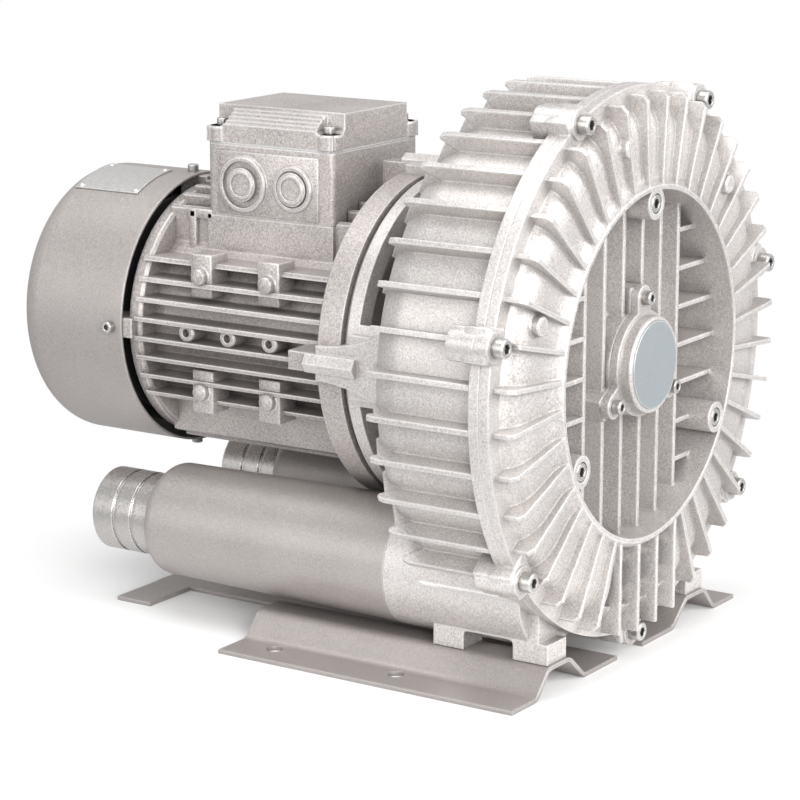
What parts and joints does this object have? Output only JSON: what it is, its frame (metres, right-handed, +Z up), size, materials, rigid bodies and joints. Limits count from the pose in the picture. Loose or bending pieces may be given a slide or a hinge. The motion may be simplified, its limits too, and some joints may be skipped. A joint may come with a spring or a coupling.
{
  "type": "side channel blower",
  "caption": "Side channel blower with a finned impeller casing, an outboard bearing, a fan-cooled motor, terminal box, two hose-tail silencers and sheet-metal feet.",
  "frame": {"origin": "middle of the four foot holes, on the floor", "axes": "+Z up, +Y along the shaft from the casing cover towards the motor, +X to the right seen from the cover"},
  "size_m": [0.3876, 0.476, 0.392],
  "materials": {
    "cast_casing": "sand-cast, silver painted",
    "cast_motor": "cast, silver painted",
    "cowl_paint": "painted sheet",
    "silencer_paint": "painted",
    "foot_paint": "painted sheet",
    "spigot_metal": "turned",
    "screw_steel": "zinc plated",
    "bare_steel": "ground",
    "bearing_steel": "ground and polished",
    "impeller_alloy": "cast",
    "lamination_steel": "stamped sheet stack",
    "copper_winding": "varnished",
    "seal_rubber": "matt",
    "fan_plastic": "moulded",
    "badge_plate": "satin, blank",
    "plug_plastic": "moulded",
    "block_plastic": "moulded",
    "stud_brass": "turned",
    "foam": "open-cell foam"
  },
  "bodies": {
    "blower_body": {"bearing_cap": "cast_casing", "bearing_cap_screws": "screw_steel", "box_gasket": "seal_rubber", "cap_plate": "badge_plate", "cover_screws": "screw_steel", "cowl_screws": "screw_steel", "entry_plugs": "plug_plastic", "fan_cowl": "cowl_paint", "foot_bolts": "screw_steel", "front_bearing_outer_race": "bearing_steel", "impeller_cover": "cast_casing", "impeller_housing": "cast_casing", "jacking_screws": "screw_steel", "left_foam_liner": "foam", "left_foot": "foot_paint", "left_hose_spigot": "spigot_metal", "left_perforated_core": "bare_steel", "left_silencer": "silencer_paint", "lid_screws": "screw_steel", "motor_flange": "cast_motor", "motor_frame": "cast_motor", "preload_washer": "bare_steel", "rear_bearing_outer_race": "bearing_steel", "rear_shield": "cast_motor", "right_foam_liner": "foam", "right_foot": "foot_paint", "right_hose_spigot": "spigot_metal", "right_perforated_core": "bare_steel", "right_silencer": "silencer_paint", "shaft_seal": "seal_rubber", "stator_core": "lamination_steel", "stator_windings": "copper_winding", "terminal_block": "block_plastic", "terminal_box": "cast_motor", "terminal_lid": "cast_motor", "terminal_studs": "stud_brass", "tie_bolts": "screw_steel"},
    "rotor": {"shaft": "bare_steel", "impeller": "impeller_alloy", "impeller_key": "bare_steel", "spacer_sleeve": "bare_steel", "front_circlip": "bare_steel", "fan_circlip": "bare_steel", "rotor_core": "lamination_steel", "cooling_fan": "fan_plastic", "front_bearing_inner_race": "bearing_steel", "rear_bearing_inner_race": "bearing_steel"},
    "front_ball_set": {"front_bearing_cage": "bearing_steel", "front_bearing_balls": "bearing_steel"},
    "rear_ball_set": {"rear_bearing_cage": "bearing_steel", "rear_bearing_balls": "bearing_steel"}
  },
  "joints": [
    {"name": "shaft_spin", "type": "hinge", "parent": "blower_body", "child": "rotor", "pos_m": [0, 0, 0.205], "axis": [0, 1, 0], "continuous": true},
    {"name": "front_cage_orbit", "type": "hinge", "parent": "blower_body", "child": "front_ball_set", "pos_m": [0, 0, 0.205], "axis": [0, 1, 0], "continuous": true},
    {"name": "rear_cage_orbit", "type": "hinge", "parent": "blower_body", "child": "rear_ball_set", "pos_m": [0, 0, 0.205], "axis": [0, 1, 0], "continuous": true}
  ],
  "couplings": [
    {"joint": "front_cage_orbit", "follows": "shaft_spin", "ratio": 0.4},
    {"joint": "rear_cage_orbit", "follows": "shaft_spin", "ratio": 0.4}
  ]
}
